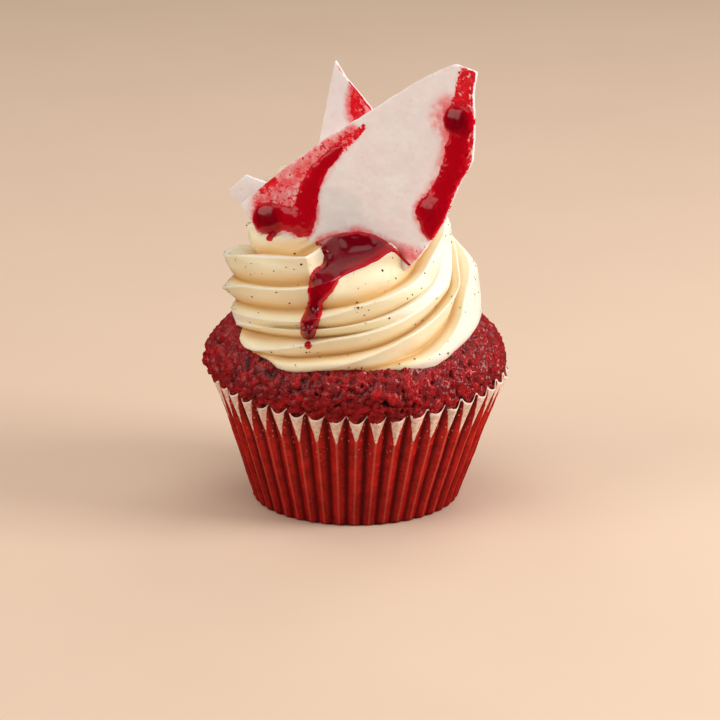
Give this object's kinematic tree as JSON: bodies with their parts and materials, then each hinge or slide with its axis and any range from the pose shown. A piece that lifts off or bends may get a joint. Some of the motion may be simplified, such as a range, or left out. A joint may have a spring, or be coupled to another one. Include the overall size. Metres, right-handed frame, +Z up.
{
  "type": "red velvet cupcake",
  "caption": "Domed red crumb cake in a pleated paper case, with a piped swirl of cream-cheese frosting and upright shards of white sugar glass stained with red syrup.",
  "frame": {"origin": "centre of the paper case's flat bottom, on the surface it stands on", "axes": "+Z up through the cake; -Y is the front, where the widest shard and the syrup's drip show; +X is to the right of someone looking at the front"},
  "size_m": [0.0768, 0.0755, 0.1171],
  "materials": {
    "paper": "baked greaseproof paper, soaked red and slightly waxy below, dry and pale at the rim",
    "red_sponge": "moist open crumb with small glossy spots",
    "cream_cheese_frosting": "smooth, soft and slightly translucent, with vanilla specks",
    "sugar_glass": "white, cloudy and smooth, with glossy red syrup"
  },
  "bodies": {
    "root": {"paper_case": "paper", "sponge": "red_sponge", "frosting": "cream_cheese_frosting", "shard_front": "sugar_glass", "shard_left": "sugar_glass", "shard_spike": "sugar_glass"}
  },
  "joints": []
}
